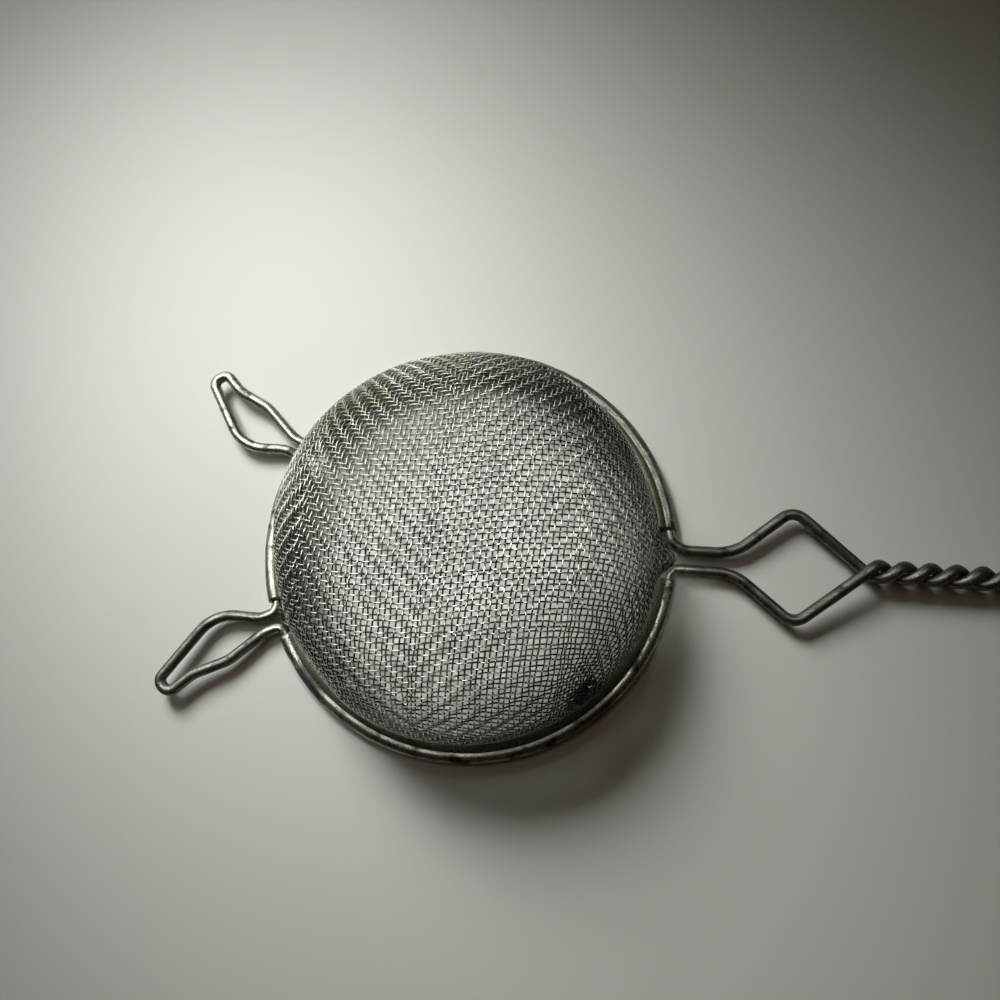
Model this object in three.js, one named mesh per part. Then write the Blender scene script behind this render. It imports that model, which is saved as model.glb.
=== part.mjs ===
// Hand strainer of tinned steel, lying dome up on its rim. One length of bent wire makes the rim,
// two rest ears and the handle, a folded strip in three lengths binds the rim, and the bowl is
// wire cloth in herringbone twill, pressed into a dome. Millimetres and degrees, +Z up, handle along +X.
import * as THREE from "three";

// Rim: frame wire and the strip folded round it
const RIM_DIAMETER = 125; // over the bead
const FRAME_WIRE = 3.3; // diameter of the frame wire
const STRIP = 0.5; // sheet of the binding
const CLEARANCE = 0.3; // between pieces that touch
const LEG_HEIGHT = 6; // top of the binding's two legs above the table
const CREASE_ANGLE = 115; // round the bead from its outer side, where the strip turns in to the cloth
const FOOT_RISE = 1.8; // slant between the flat underside and the inner leg
const BINDING_SETBACK = 0.5; // bare wire between the end of a binding and a bend
const BUTT_GAP = 0.6; // between the two ends of the frame wire, inside the binding between the ears

// Wire cloth bowl: a superellipse turned about Z, on a short upright wall that the binding holds
const CLOTH_INSET = 4.05; // from the middle of the frame wire in to the middle of the cloth, at the base
const DOME_HEIGHT = 39; // from the base to the crown
const DOME_FULLNESS = 2.5; // exponent of the superellipse: 2 is an ellipse, more is squarer
const DOME_BASE = 5.5; // height of the base above the table
const CLOTH_FOOT = 2.2; // height of the cut edge above the table
const CLOTH_WIRE = 0.8; // diameter of a cloth wire
const WIRES_EACH_SIDE = 12; // of the middle wire, in each direction
const TWILL_FLOAT = 2; // wires that a cloth wire passes over, and then under
const TWILL_STRIPE = 6; // warp wires from one turn of the herringbone to the next
const WARP_TURN = 8; // from the handle to the row of crossings that counts the warp
const WEAVE_ANGLE = 78; // between warp and weft at the crown, where the cloth was drawn askew

// Rest ears: reach is measured out from the ring of frame wire, side is across the ear
const BACK_EAR_ANGLE = 153.9; // from the handle
const FRONT_EAR_ANGLE = -154.9;
const EAR_NECK = 4.4; // between the two legs
const EAR_NECK_REACH = 6;
const EAR_ELBOW_REACH = 18.6;
const EAR_OUTER_SIDE = 8.6; // elbow on the side away from the handle
const EAR_INNER_SIDE = 6.4; // elbow on the side of the handle
const EAR_WAIST_REACH = 29.5; // where the inner leg turns to the tip
const BACK_EAR_TIP_REACH = 37.9;
const FRONT_EAR_TIP_REACH = 39;
const EAR_TIP_SIDE = 6.9; // lean of the tip to the side of the handle
const EAR_TIP_WIDTH = 5.2;
const EAR_TIP_TURN = 28.5;
const EAR_RISE = 2; // of the tip above the ring
const EAR_ROOT_BEND = 3; // bend radii, to the middle of the wire
const EAR_NECK_BEND = 8;
const EAR_ELBOW_BEND = 12;
const EAR_TIP_BEND = 2.4;

// Handle: an open diamond, a twist and a hanging loop, measured out from the ring of frame wire
const NECK_WIDTH = 5.7; // between the two wires
const NECK_LENGTH = 18;
const DIAMOND_WIDTH = 33; // between the corners before they are rounded
const DIAMOND_REACH = 34.5; // to the corners
const CROSSING_REACH = 54.6; // to the first crossing
const HALF_TWISTS = 5;
const LOOP_RADIUS = 10;
const HANDLE_RISE = 2.5; // of the twist above the ring, which keeps it off the table
const BACK_ROOT_BEND = 6;
const FRONT_ROOT_BEND = 3;
const NECK_BEND = 14;
const DIAMOND_BEND = 4.5;

// Facets
const FRAME_SIDES = 8;
const CLOTH_SIDES = 4;
const RING_STEP = THREE.MathUtils.degToRad(6);
const BEND_STEP = THREE.MathUtils.degToRad(18);
const BEAD_STEP = 30;
const TWIST_STEP = Math.PI / 6;
const LONGEST_STEP = 7; // along a straight stretch of frame wire
const SETTLE_ROUNDS = 80; // in which a crossing of the cloth finds its place
const PROFILE_STEPS = 400; // in which the dome's profile is measured
const SPARE_CROSSINGS = 3; // past the last wire, so that each wire runs on below the foot of the cloth

const radians = THREE.MathUtils.degToRad;
const { smoothstep } = THREE.MathUtils;

const beadRadius = FRAME_WIRE / 2 + CLEARANCE + STRIP;
const ringRadius = RIM_DIAMETER / 2 - beadRadius;
const ringHeight = beadRadius;
const domeRadius = ringRadius - CLOTH_INSET; // of the middle of the cloth, at the base
const weaveOffset = (CLOTH_WIRE + CLEARANCE) / 2; // of a cloth wire from the middle of the cloth
const slotHalf = weaveOffset + CLOTH_WIRE / 2 + CLEARANCE;

// A sweep path through given stations, each of which keeps its place.
class StationPath extends THREE.Curve {
  constructor(stations) {
    super();
    this.stations = stations;
  }

  getPointAt(u, target = new THREE.Vector3()) {
    return target.copy(this.stations[Math.round(u * (this.stations.length - 1))]);
  }

  getTangentAt(u, target = new THREE.Vector3()) {
    const last = this.stations.length - 1;
    const k = Math.round(u * last);
    const step = (a, b) => this.stations[b].clone().sub(this.stations[a]).normalize();
    target.set(0, 0, 0);
    if (k > 0) target.add(step(k - 1, k));
    if (k < last) target.add(step(k, k + 1));
    return target.normalize();
  }
}

function sweep(section, stations) {
  return new THREE.ExtrudeGeometry(new THREE.Shape(section), {
    steps: stations.length - 1,
    bevelEnabled: false,
    extrudePath: new StationPath(stations),
  });
}

function roundSection(diameter, sides) {
  return Array.from({ length: sides }, (_, k) =>
    new THREE.Vector2(diameter / 2, 0).rotateAround(new THREE.Vector2(), (2 * Math.PI * k) / sides),
  );
}

// Points from start round a centre through a turn, both ends included.
function bendPoints(start, centre, turn, step = BEND_STEP) {
  const count = Math.max(1, Math.ceil(Math.abs(turn) / step));
  return Array.from({ length: count + 1 }, (_, k) => start.clone().rotateAround(centre, (turn * k) / count));
}

// A plan route through corners, each rounded to its bend radius where it has one.
function roundedRoute(corners) {
  return corners.flatMap(({ at, bend }, k) => {
    if (!bend) return [at];
    const arriving = at.clone().sub(corners[k - 1].at).normalize();
    const leaving = corners[k + 1].at.clone().sub(at).normalize();
    const turn = Math.atan2(arriving.cross(leaving), arriving.dot(leaving));
    const start = at.clone().addScaledVector(arriving, -bend * Math.tan(Math.abs(turn) / 2));
    const side = new THREE.Vector2(-arriving.y, arriving.x).multiplyScalar(Math.sign(turn) * bend);
    return bendPoints(start, start.clone().add(side), turn);
  });
}

// The same route with no straight step longer than LONGEST_STEP.
function subdivided(route) {
  return route.flatMap((point, k) => {
    if (k === 0) return [point];
    const count = Math.ceil(point.distanceTo(route[k - 1]) / LONGEST_STEP);
    return Array.from({ length: count }, (_, n) => route[k - 1].clone().lerp(point, (n + 1) / count));
  });
}

const corner = (reach, side, bend) => ({ at: new THREE.Vector2(ringRadius + reach, side), bend });
const mirrored = (points) => points.map((p) => new THREE.Vector2(p.x, -p.y)).reverse();

// Half the angle that a loop's two roots take up on the ring.
function rootAngle(neck, bend) {
  return Math.asin((neck / 2 + bend) / (ringRadius + bend));
}

// The bend from the ring out into a leg that lies half a neck from the loop's own axis.
function rootBend(neck, bend) {
  const angle = rootAngle(neck, bend);
  const centre = new THREE.Vector2(ringRadius + bend, 0).rotateAround(new THREE.Vector2(), angle);
  const start = centre.clone().setLength(ringRadius);
  return bendPoints(start, centre, Math.PI / 2 - angle);
}

// An ear in plan, its axis along X, from its root on the side away from the handle round to the other.
function earRoute(tipReach) {
  const root = rootBend(EAR_NECK, EAR_ROOT_BEND);
  const start = root.at(-1);
  const tip = new THREE.Vector2(ringRadius + tipReach, -EAR_TIP_SIDE);
  const across = new THREE.Vector2(0, EAR_TIP_WIDTH / 2);
  across.rotateAround(new THREE.Vector2(), -radians(EAR_TIP_TURN));
  const legs = roundedRoute([
    { at: start },
    corner(EAR_NECK_REACH, EAR_NECK / 2, EAR_NECK_BEND),
    corner(EAR_ELBOW_REACH, EAR_OUTER_SIDE, EAR_ELBOW_BEND),
    { at: tip.clone().add(across), bend: EAR_TIP_BEND },
    { at: tip.clone().sub(across), bend: EAR_TIP_BEND },
    corner(EAR_WAIST_REACH, -EAR_INNER_SIDE, EAR_ELBOW_BEND),
    corner(EAR_ELBOW_REACH, -EAR_INNER_SIDE, EAR_ELBOW_BEND),
    corner(EAR_NECK_REACH, -EAR_NECK / 2, EAR_NECK_BEND),
    { at: new THREE.Vector2(start.x, -start.y) },
  ]);
  return subdivided([...root, ...legs.slice(1, -1), ...mirrored(root)]);
}

// An ear at its place on the ring, rising to its tip.
function earStations(route, tipReach, angle) {
  return route.map((p) => {
    const rise = EAR_RISE * smoothstep(p.x, ringRadius, ringRadius + tipReach);
    const turned = p.clone().rotateAround(new THREE.Vector2(), radians(angle));
    return new THREE.Vector3(turned.x, turned.y, ringHeight + rise);
  });
}

// The back half of the handle from the ring to the end of its loop, with Z measured from the handle's axis.
// It passes under the front half at the first crossing, and the twist takes over at the same slope.
function handleHalf(bend) {
  const twistRadius = (FRAME_WIRE + CLEARANCE) / 2;
  const diamond = ringRadius + DIAMOND_REACH;
  const crossing = ringRadius + CROSSING_REACH;
  const slope = Math.atan2(DIAMOND_WIDTH / 2, crossing - diamond);
  const halfTwist = (Math.PI * twistRadius) / Math.tan(slope);
  const twistEnd = crossing + HALF_TWISTS * halfTwist;
  const loopCentre = new THREE.Vector2(twistEnd + LOOP_RADIUS / Math.sin(slope), 0);
  const root = rootBend(NECK_WIDTH, bend);

  const legs = roundedRoute([
    { at: root.at(-1) },
    corner(NECK_LENGTH, NECK_WIDTH / 2, NECK_BEND),
    corner(DIAMOND_REACH, DIAMOND_WIDTH / 2, DIAMOND_BEND),
    corner(CROSSING_REACH, 0),
  ]);
  const open = subdivided([...root, ...legs.slice(1)]).map(
    (p) => new THREE.Vector3(p.x, p.y, -twistRadius * smoothstep(p.x, diamond, crossing)),
  );

  const turns = Math.round((HALF_TWISTS * Math.PI) / TWIST_STEP);
  const twist = Array.from({ length: turns }, (_, k) => {
    const angle = (HALF_TWISTS * Math.PI * (k + 1)) / turns;
    const along = crossing + (halfTwist * angle) / Math.PI;
    return new THREE.Vector3(along, -twistRadius * Math.sin(angle), -twistRadius * Math.cos(angle));
  });

  const side = HALF_TWISTS % 2 ? 1 : -1;
  const outward = new THREE.Vector2(-Math.sin(slope), Math.cos(slope));
  const bowStart = loopCentre.clone().addScaledVector(outward, LOOP_RADIUS);
  const bow = bendPoints(bowStart, loopCentre, -(Math.PI / 2 + slope));
  const loop = subdivided([new THREE.Vector2(twistEnd, 0), ...bow])
    .slice(1)
    .map((p) => {
      const settle = 1 - smoothstep(p.x, twistEnd, loopCentre.x + LOOP_RADIUS);
      return new THREE.Vector3(p.x, side * p.y, side * twistRadius * settle);
    });
  return [...open, ...twist, ...loop];
}

// Both halves of the handle, the front one turned half round the handle's axis, from back root to front root.
function handleStations() {
  const back = handleHalf(BACK_ROOT_BEND);
  const front = handleHalf(FRONT_ROOT_BEND).map((p) => new THREE.Vector3(p.x, -p.y, -p.z));
  return [...back, ...front.reverse().slice(1)].map((p) => {
    const rise = HANDLE_RISE * smoothstep(p.x, ringRadius, ringRadius + CROSSING_REACH);
    return new THREE.Vector3(p.x, p.y, ringHeight + rise + p.z);
  });
}

// The ring between two angles in radians, at a height.
function ringStations(from, to, height) {
  const centre = new THREE.Vector2();
  const start = new THREE.Vector2(ringRadius, 0).rotateAround(centre, from);
  const round = bendPoints(start, centre, to - from, RING_STEP);
  return round.map((p) => new THREE.Vector3(p.x, p.y, height));
}

const earRoot = rootAngle(EAR_NECK, EAR_ROOT_BEND);
const backRoot = rootAngle(NECK_WIDTH, BACK_ROOT_BEND);
const frontRoot = rootAngle(NECK_WIDTH, FRONT_ROOT_BEND);
const backEar = radians(BACK_EAR_ANGLE);
const frontEar = radians(FRONT_EAR_ANGLE);

// The whole frame wire, from its end in the binding between the ears round by the back to its other end.
function frameWire() {
  const end = Math.PI - BUTT_GAP / 2 / ringRadius;
  const stations = [
    ringStations(end, backEar + earRoot, ringHeight),
    earStations(earRoute(BACK_EAR_TIP_REACH), BACK_EAR_TIP_REACH, BACK_EAR_ANGLE),
    ringStations(backEar - earRoot, backRoot, ringHeight),
    handleStations(),
    ringStations(-frontRoot, frontEar + earRoot, ringHeight),
    earStations(mirrored(earRoute(FRONT_EAR_TIP_REACH)), FRONT_EAR_TIP_REACH, FRONT_EAR_ANGLE),
    ringStations(frontEar - earRoot, -end, ringHeight),
  ];
  const joined = stations.flatMap((run, k) => (k === 0 ? run : run.slice(1)));
  return sweep(roundSection(FRAME_WIRE, FRAME_SIDES), joined);
}

// Outline of a strip of even thickness about its middle line, with mitred corners.
function stripOutline(middle, thickness) {
  const normal = (a, b) => new THREE.Vector2(a.y - b.y, b.x - a.x).normalize();
  const offsets = middle.map((_, k) => {
    const before = normal(middle[Math.max(k - 1, 0)], middle[Math.max(k, 1)]);
    const after = normal(middle[Math.min(k, middle.length - 2)], middle[Math.min(k + 1, middle.length - 1)]);
    return before.clone().add(after).multiplyScalar(thickness / 2 / (1 + before.dot(after)));
  });
  const outer = middle.map((point, k) => point.clone().add(offsets[k]));
  const inner = middle.map((point, k) => point.clone().sub(offsets[k]));
  return [...outer, ...inner.reverse()];
}

// Section of the binding, radius along X and height along Y: a flange against the outside of the cloth,
// the bead round the frame wire, a flat underside and a leg up the inside of the cloth.
function bindingSection() {
  const beadMiddle = beadRadius - STRIP / 2;
  const bead = (angle) =>
    new THREE.Vector2(ringRadius + beadMiddle, ringHeight).rotateAround(
      new THREE.Vector2(ringRadius, ringHeight),
      radians(angle),
    );
  const flangeRadius = domeRadius + slotHalf + STRIP / 2;
  const legRadius = domeRadius - slotHalf - STRIP / 2;
  const middle = [new THREE.Vector2(flangeRadius, LEG_HEIGHT), bead(CREASE_ANGLE)];
  for (let angle = 90; angle >= -90; angle -= BEAD_STEP) middle.push(bead(angle));
  middle.push(
    new THREE.Vector2(legRadius + FOOT_RISE, STRIP / 2),
    new THREE.Vector2(legRadius, STRIP / 2 + FOOT_RISE),
    new THREE.Vector2(legRadius, LEG_HEIGHT),
  );
  return stripOutline(middle, STRIP);
}

// One length of binding between two bends of the frame wire, kept back from both.
function binding(from, to) {
  const setback = BINDING_SETBACK / ringRadius;
  const section = bindingSection().map((p) => new THREE.Vector2(-p.y, ringRadius - p.x));
  return sweep(section, ringStations(from + setback, to - setback, 0));
}

// The nearest place on the dome, with Z measured from its base. Below the base the wall is upright.
function ontoDome(point) {
  const radius = Math.hypot(point.x, point.y);
  if (point.z > 0) {
    const across = (radius / domeRadius) ** DOME_FULLNESS;
    const up = (point.z / DOME_HEIGHT) ** DOME_FULLNESS;
    return point.multiplyScalar((across + up) ** (-1 / DOME_FULLNESS));
  }
  const scale = domeRadius / radius;
  return point.set(point.x * scale, point.y * scale, point.z);
}

function domeNormal(point) {
  const radius = Math.hypot(point.x, point.y);
  if (point.z <= 0) return new THREE.Vector3(point.x, point.y, 0).normalize();
  const across = radius ** (DOME_FULLNESS - 2) / domeRadius ** DOME_FULLNESS;
  const up = point.z ** (DOME_FULLNESS - 1) / DOME_HEIGHT ** DOME_FULLNESS;
  return new THREE.Vector3(point.x * across, point.y * across, up).normalize();
}

// Distance along the cloth from the crown to the base.
function crownToBase() {
  const profile = Array.from({ length: PROFILE_STEPS + 1 }, (_, k) => {
    const angle = (Math.PI / 2) * (k / PROFILE_STEPS);
    return new THREE.Vector2(
      domeRadius * Math.sin(angle) ** (2 / DOME_FULLNESS),
      DOME_HEIGHT * Math.cos(angle) ** (2 / DOME_FULLNESS),
    );
  });
  return profile.slice(1).reduce((sum, p, k) => sum + p.distanceTo(profile[k]), 0);
}

// A crossing of the cloth, on the dome and one pitch from each neighbour that is already placed.
function settled(guess, neighbours, pitch) {
  const point = ontoDome(guess);
  for (let round = 0; round < SETTLE_ROUNDS; round++) {
    const pull = new THREE.Vector3();
    for (const neighbour of neighbours) {
      const away = point.clone().sub(neighbour);
      pull.addScaledVector(away, (pitch / away.length() - 1) / neighbours.length);
    }
    ontoDome(point.add(pull));
  }
  return point;
}

// Crossings of the cloth, by warp and weft number counted from the crown. Woven wires keep their spacing
// along each other and only the angle between them gives, so each cell has sides of one pitch.
function clothNet() {
  const reach = WIRES_EACH_SIDE + SPARE_CROSSINGS;
  const pitch = crownToBase() / (WIRES_EACH_SIDE + 0.5);
  const net = new Map();
  const key = (i, j) => `${i} ${j}`;
  const node = (i, j) => net.get(key(i, j));
  const crown = new THREE.Vector3(0, 0, DOME_HEIGHT);
  net.set(key(0, 0), crown);
  const row = (di, dj, angle) => {
    const ahead = new THREE.Vector3(pitch * Math.cos(angle), pitch * Math.sin(angle), 0);
    let last = crown;
    for (let k = 1; k <= reach; k++) {
      const point = settled(last.clone().add(ahead), [last], pitch);
      net.set(key(di * k, dj * k), point);
      ahead.copy(point).sub(last);
      last = point;
    }
  };
  const warpRow = radians(WARP_TURN);
  const weftRow = radians(WARP_TURN + WEAVE_ANGLE);
  row(1, 0, warpRow);
  row(-1, 0, warpRow + Math.PI);
  row(0, 1, weftRow);
  row(0, -1, weftRow + Math.PI);
  for (const si of [1, -1])
    for (const sj of [1, -1])
      for (let i = 1; i <= reach; i++)
        for (let j = 1; j <= reach; j++) {
          const a = node(si * (i - 1), sj * j);
          const b = node(si * i, sj * (j - 1));
          const guess = a.clone().add(b).sub(node(si * (i - 1), sj * (j - 1)));
          net.set(key(si * i, sj * j), settled(guess, [a, b], pitch));
        }
  return { node, reach };
}

// Herringbone twill: a weft wire passes over some warp wires and under as many. Each row starts one wire
// further on, to one side in a stripe and to the other side in the next.
function weftOver(i, j) {
  const { euclideanModulo } = THREE.MathUtils;
  const step = Math.abs(euclideanModulo(i + TWILL_STRIPE, 2 * TWILL_STRIPE) - TWILL_STRIPE);
  return euclideanModulo(j - step, 2 * TWILL_FLOAT) < TWILL_FLOAT;
}

// One cloth wire through its crossings, over some and under others, cut off level at the foot of the cloth.
function clothWire(crossings) {
  const foot = CLOTH_FOOT - DOME_BASE;
  const waved = crossings.map(({ at, over }) =>
    at.clone().addScaledVector(domeNormal(at), over ? weaveOffset : -weaveOffset),
  );
  const first = waved.findIndex((p) => p.z > foot);
  const last = waved.findLastIndex((p) => p.z > foot);
  const cut = (above, below) => above.clone().lerp(below, (above.z - foot) / (above.z - below.z));
  const stations = [
    cut(waved[first], waved[first - 1]),
    ...waved.slice(first, last + 1),
    cut(waved[last], waved[last + 1]),
  ];
  return sweep(
    roundSection(CLOTH_WIRE, CLOTH_SIDES),
    stations.map((p) => p.setZ(p.z + DOME_BASE)),
  );
}

const finishes = {
  frame: { color: 0x6a665a, roughness: 0.42, metalness: 1 },
  binding: { color: 0x85847a, roughness: 0.36, metalness: 1 },
  cloth: { color: 0xa6a79f, roughness: 0.32, metalness: 1 },
};

const strainer = new THREE.Group();

function addPiece(name, geometry, finish) {
  const mesh = new THREE.Mesh(geometry, new THREE.MeshStandardMaterial(finish));
  mesh.name = name;
  strainer.add(mesh);
}

addPiece("frame_wire", frameWire(), finishes.frame);
const turn = 2 * Math.PI;
addPiece("rim_binding_back", binding(backRoot, backEar - earRoot), finishes.binding);
addPiece("rim_binding_between_ears", binding(backEar + earRoot, turn + frontEar - earRoot), finishes.binding);
addPiece("rim_binding_front", binding(turn + frontEar + earRoot, turn - frontRoot), finishes.binding);

const { node, reach } = clothNet();
const numbers = Array.from({ length: 2 * reach + 1 }, (_, k) => k - reach);
for (let n = -WIRES_EACH_SIDE; n <= WIRES_EACH_SIDE; n++) {
  const label = String(n + WIRES_EACH_SIDE + 1).padStart(2, "0");
  const warp = numbers.map((j) => ({ at: node(n, j), over: !weftOver(n, j) }));
  const weft = numbers.map((i) => ({ at: node(i, n), over: weftOver(i, n) }));
  addPiece("cloth_warp_" + label, clothWire(warp), finishes.cloth);
  addPiece("cloth_weft_" + label, clothWire(weft), finishes.cloth);
}

// The origin lies under the middle of the whole strainer, on the table.
const box = new THREE.Box3().setFromObject(strainer);
const boxCentre = box.getCenter(new THREE.Vector3());
strainer.position.set(-boxCentre.x, -boxCentre.y, -box.min.z);

const part = new THREE.Group();
part.add(strainer);
export default part;
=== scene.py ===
"""A worn hand strainer of tinned steel, lying dome up on a pale table.

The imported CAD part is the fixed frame. Every solid in it has a finer stand-in here: the bent frame wire, the
folded rim binding in three lengths, and the woven cloth with all of its wires. Sizes are in millimetres, as
in the CAD source, and a mesh is turned to metres as it is made. Plan points are complex numbers, X the real
part.
"""

from __future__ import annotations

import cmath
import logging
import math
from collections.abc import Sequence
from dataclasses import dataclass
from enum import Enum

import bpy
import numpy as np
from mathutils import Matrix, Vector

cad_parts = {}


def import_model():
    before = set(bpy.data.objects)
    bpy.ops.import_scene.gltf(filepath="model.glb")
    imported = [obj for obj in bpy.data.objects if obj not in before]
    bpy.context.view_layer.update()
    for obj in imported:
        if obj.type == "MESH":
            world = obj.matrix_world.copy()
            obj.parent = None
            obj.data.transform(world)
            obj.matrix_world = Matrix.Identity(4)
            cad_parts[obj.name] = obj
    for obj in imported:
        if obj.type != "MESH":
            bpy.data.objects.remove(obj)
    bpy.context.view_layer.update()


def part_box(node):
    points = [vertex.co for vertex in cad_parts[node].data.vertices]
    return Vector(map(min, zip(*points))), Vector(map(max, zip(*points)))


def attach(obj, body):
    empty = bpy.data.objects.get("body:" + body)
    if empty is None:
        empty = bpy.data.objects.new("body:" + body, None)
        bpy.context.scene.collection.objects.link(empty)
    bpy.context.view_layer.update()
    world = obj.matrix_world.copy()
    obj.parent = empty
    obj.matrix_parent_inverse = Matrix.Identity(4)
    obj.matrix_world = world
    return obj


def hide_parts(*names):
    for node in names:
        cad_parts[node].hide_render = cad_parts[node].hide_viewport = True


Pair = tuple[float, float]
Triple = tuple[float, float, float]
LOG = logging.getLogger("strainer")
MM = 0.001
BODY = "root"
BEND_STEP = math.radians(5)
TINY = 1e-9  # keeps a division by a length from failing at 0


class Slot(Enum):
    """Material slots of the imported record."""

    FRAME = "frame_wire"
    BINDING = "rim_binding"
    CLOTH = "wire_cloth"


class Run(Enum):
    """Ways in which the cloth's wires run."""

    WARP = "warp"
    WEFT = "weft"


class LampShape(Enum):
    """Outlines of a lamp's face."""

    PANEL = "RECTANGLE"
    ROUND = "ELLIPSE"


class Trait(Enum):
    """Point attributes that the wires and the binding carry into their materials."""

    ALONG = "along"  # metres along the wire
    OVER = "over"  # 1 where a cloth wire passes over another, -1 where it passes under
    OUTWARD = "outward"  # square to the cloth
    FACING = "facing"  # 1 where a wire's surface faces outward, 0 on its flanks
    PLACE = "wire_place"  # metres along, and then across the section


def linear(colour: str) -> tuple[float, float, float, float]:
    """Turn an sRGB hex colour to linear values.

    Args:
        colour: six hex digits after a hash sign.

    Returns:
        Red, green, blue and an alpha of 1.
    """
    parts = [int(colour[k : k + 2], 16) / 255 for k in (1, 3, 5)]
    red, green, blue = (c / 12.92 if c <= 0.04045 else ((c + 0.055) / 1.055) ** 2.4 for c in parts)
    return red, green, blue, 1.0


def add_node(
    tree: bpy.types.NodeTree, kind: str, inputs: dict | None = None, **settings: object
) -> bpy.types.Node:
    """Add a node with its settings and links.

    Args:
        tree: the node tree that takes it.
        kind: the node's type name.
        inputs: by socket name or number, a value to set, an output socket to link, or a node whose first
            output is linked.
        settings: the node's own properties.

    Returns:
        The new node.
    """
    node = tree.nodes.new(kind)
    for name, value in settings.items():
        setattr(node, name, value)
    for key, value in (inputs or {}).items():
        source = value.outputs[0] if isinstance(value, bpy.types.Node) else value
        if isinstance(source, bpy.types.NodeSocket):
            tree.links.new(source, node.inputs[key])
        else:
            node.inputs[key].default_value = source
    return node


def blank_material(name: str) -> tuple[bpy.types.Material, bpy.types.NodeTree]:
    """Make a material without nodes.

    Args:
        name: what the real material is.

    Returns:
        The material and its node tree.
    """
    made = bpy.data.materials.new(name)
    made.use_nodes = True
    made.node_tree.nodes.clear()
    return made, made.node_tree


def smoothstep(value: np.ndarray | float, low: float, high: float) -> np.ndarray:
    """Rise smoothly from 0 at low to 1 at high."""
    share = np.clip((np.asarray(value, float) - low) / (high - low), 0, 1)
    return share * share * (3 - 2 * share)


def plan_radius(points: np.ndarray) -> np.ndarray:
    """Distance of points from the Z axis, never quite 0."""
    return np.maximum(np.hypot(points[..., 0], points[..., 1]), TINY)


def share_out(items: list, parts: int) -> list[list]:
    """Cut a list into parts of about the same length."""
    return [items[k * len(items) // parts : (k + 1) * len(items) // parts] for k in range(parts)]


def unit(step: complex) -> complex:
    """Scale a plan step to length 1."""
    return step / abs(step)


def bend_points(start: complex, centre: complex, turn: float, step: float = BEND_STEP) -> list[complex]:
    """Lay points round a centre.

    Args:
        start: the first point.
        centre: what the points turn about.
        turn: angle from first to last, in radians.
        step: the largest angle between two points.

    Returns:
        The points, both ends included.
    """
    count = max(1, math.ceil(abs(turn) / step))
    return [centre + (start - centre) * cmath.exp(1j * turn * k / count) for k in range(count + 1)]


@dataclass(frozen=True)
class Corner:
    """A corner of a bent route, with its bend radius."""

    at: complex
    bend: float = 0.0


def rounded_route(corners: list[Corner]) -> list[complex]:
    """Follow corners, each rounded to its bend radius where it has one.

    Args:
        corners: the corners in order, the first and last without a bend.

    Returns:
        The points of the route.
    """
    points: list[complex] = []
    for k, corner in enumerate(corners):
        if not corner.bend:
            points.append(corner.at)
            continue
        arriving = unit(corner.at - corners[k - 1].at)
        turn = cmath.phase(unit(corners[k + 1].at - corner.at) / arriving)
        start = corner.at - arriving * corner.bend * math.tan(abs(turn) / 2)
        centre = start + arriving * 1j * math.copysign(corner.bend, turn)
        points += bend_points(start, centre, turn)
    return points


def mirrored(points: list[complex]) -> list[complex]:
    """Mirror a plan route in the X axis and run it backwards."""
    return [p.conjugate() for p in reversed(points)]


def evenly(points: np.ndarray, step: float) -> np.ndarray:
    """Lay points along a route at an even step.

    Args:
        points: the route, one point to a row.
        step: distance between two points, about.

    Returns:
        The new points, both ends kept.
    """
    along = np.concatenate([[0], np.cumsum(np.linalg.norm(np.diff(points, axis=0), axis=1))])
    places = np.linspace(0, along[-1], round(along[-1] / step) + 1)
    return np.stack([np.interp(places, along, points[:, axis]) for axis in range(3)], axis=1)


def mesh_object(name: str, points: np.ndarray, edges: list, faces: list) -> bpy.types.Object:
    """Make a mesh object at the origin.

    Args:
        name: the object's name.
        points: vertices in millimetres.
        edges: pairs of vertex numbers.
        faces: loops of vertex numbers.

    Returns:
        The object, linked to the scene.
    """
    mesh = bpy.data.meshes.new(name)
    mesh.from_pydata((np.asarray(points) * MM).tolist(), edges, faces)
    mesh.update()
    made = bpy.data.objects.new(name, mesh)
    bpy.context.scene.collection.objects.link(made)
    return made


def store(made: bpy.types.Object, trait: Trait, values: np.ndarray) -> None:
    """Keep one value, or one vector, for each point of a mesh.

    Args:
        made: the object of the mesh.
        trait: what the values tell.
        values: a number or a row of three to a point.
    """
    values = np.asarray(values, np.float32)
    kind, member = ("FLOAT", "value") if values.ndim == 1 else ("FLOAT_VECTOR", "vector")
    made.data.attributes.new(trait.value, kind, "POINT").data.foreach_set(member, values.ravel())


def dress(made: bpy.types.Object, slot: Slot | None = None, nodes: Sequence[str] = ()) -> None:
    """Let a finished piece ride on the part, say what it stands for, and report it.

    Args:
        made: the piece.
        slot: the slot of the CAD nodes that it stands for, or None where it stands for none.
        nodes: those nodes.
    """
    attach(made, BODY)
    if slot:
        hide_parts(*nodes)
    LOG.info("%s: %d faces, stands for %d solids", made.name, len(made.data.polygons), len(nodes))


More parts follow.
